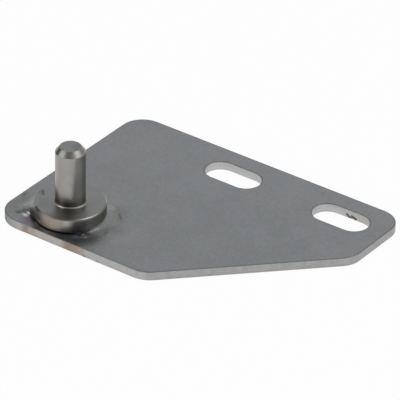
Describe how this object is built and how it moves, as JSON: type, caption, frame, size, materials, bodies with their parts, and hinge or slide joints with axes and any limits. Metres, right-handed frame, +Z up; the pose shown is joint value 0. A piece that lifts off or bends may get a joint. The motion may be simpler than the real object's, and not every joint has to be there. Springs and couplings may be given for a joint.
{
  "type": "hinge",
  "caption": "Appliance door hinge leaf: a flat slotted steel plate with rounded corners and a welded shouldered pivot pin near one corner.",
  "frame": {"origin": "where the pin's axis meets the plane of the plate's underside", "axes": "+X along the slots, away from the pin's end of the plate; +Y towards the slotted back edge; +Z up along the pin"},
  "size_m": [0.0868, 0.0625, 0.0231],
  "materials": {
    "sheet_steel": "satin cold rolled stainless sheet with pale cut edges and a heat tint near the weld",
    "turned_steel": "fine turned stainless steel",
    "weld_metal": "smooth weld metal with a dark heat tint at its ends"
  },
  "bodies": {
    "root": {"hinge_plate": "sheet_steel", "shoulder_pin": "turned_steel", "weld_bead_left": "weld_metal", "weld_bead_right": "weld_metal"}
  },
  "joints": []
}
